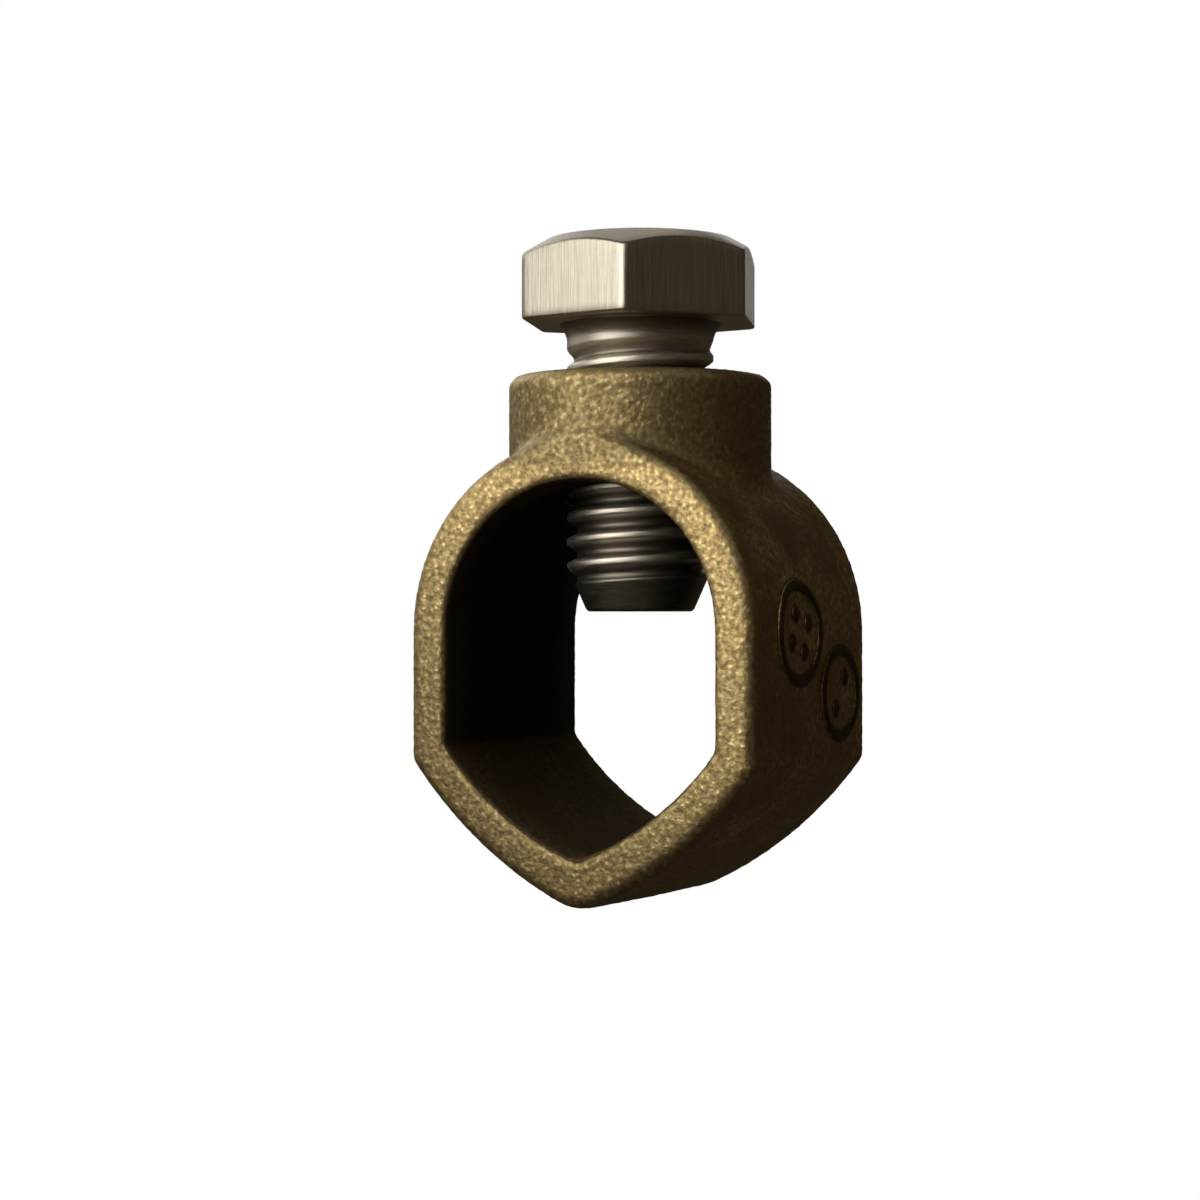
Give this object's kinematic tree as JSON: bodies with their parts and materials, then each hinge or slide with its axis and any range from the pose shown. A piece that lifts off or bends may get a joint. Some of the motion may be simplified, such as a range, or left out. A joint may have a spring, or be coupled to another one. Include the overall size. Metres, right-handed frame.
{
  "type": "earth rod clamp",
  "caption": "Cast bronze loop with a pointed seat that goes round an earth rod, and a hexagon-head bolt through its boss that presses the rod and its wire into the seat.",
  "frame": {"origin": "axis of a nominal 5/8 in (14.2 mm) rod resting on both legs of the pointed seat, half-way through the loop's depth", "axes": "+Y along the rod, from the front face to the back face; +Z along the bolt, towards its head; +X to the right seen from the front"},
  "size_m": [0.0244, 0.0176, 0.0424],
  "materials": {
    "cast_bronze": "as sand cast, fine grain, dull gold with darker brown in the recesses",
    "bolt_steel": "machined, fine brushing along the flats, warm tint"
  },
  "bodies": {
    "loop": {"clamp_loop": "cast_bronze"},
    "bolt": {"clamp_bolt": "bolt_steel"}
  },
  "joints": [
    {"name": "bolt_travel", "type": "slide", "parent": "loop", "child": "bolt", "axis": [0, 0, 1], "range_m": [-0.00317, 0.00794]}
  ]
}
